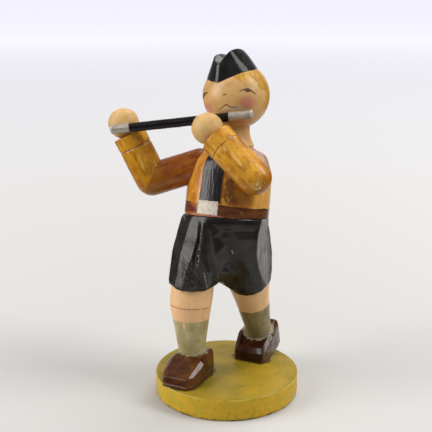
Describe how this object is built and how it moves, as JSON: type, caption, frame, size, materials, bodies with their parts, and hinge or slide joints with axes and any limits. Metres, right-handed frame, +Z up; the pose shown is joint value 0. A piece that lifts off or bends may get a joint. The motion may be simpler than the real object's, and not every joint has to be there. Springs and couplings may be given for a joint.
{
  "type": "wooden figurine",
  "caption": "Painted wooden figurine of a striding fife player in shorts and a side cap, standing on a round turned base.",
  "frame": {"origin": "middle of the base's flat underside", "axes": "+Z up through the figure; the figure faces -Y, and its left hand side is at +X"},
  "size_m": [0.0563, 0.0424, 0.0999],
  "materials": {
    "base_paint": "satin ochre green paint with darker mottling",
    "shoe_paint": "gloss dark brown varnish paint",
    "stocking_paint": "satin grey green paint",
    "skin_paint": "satin flesh paint under clear varnish",
    "shorts_paint": "gloss black paint over carved facets",
    "tunic_paint": "amber stain under gloss varnish",
    "cap_paint": "gloss black paint",
    "fife_paint": "gloss black paint with silver ends",
    "bare_wood": "bare turned beech"
  },
  "bodies": {
    "root": {"base_disc": "base_paint", "right_shoe": "shoe_paint", "right_shoe_peg": "bare_wood", "left_shoe": "shoe_paint", "left_shoe_peg": "bare_wood", "right_calf": "stocking_paint", "right_knee_dowel": "bare_wood", "right_thigh": "skin_paint", "left_leg": "stocking_paint", "shorts": "shorts_paint", "torso": "tunic_paint", "right_upper_arm": "tunic_paint", "right_forearm": "tunic_paint", "right_hand": "skin_paint", "right_elbow_dowel": "bare_wood", "right_shoulder_dowel": "bare_wood", "left_upper_arm": "tunic_paint", "left_forearm": "tunic_paint", "left_hand": "skin_paint", "left_elbow_dowel": "bare_wood", "left_shoulder_dowel": "bare_wood", "head": "skin_paint", "cap_dowel": "bare_wood", "cap": "cap_paint", "fife": "fife_paint"}
  },
  "joints": []
}
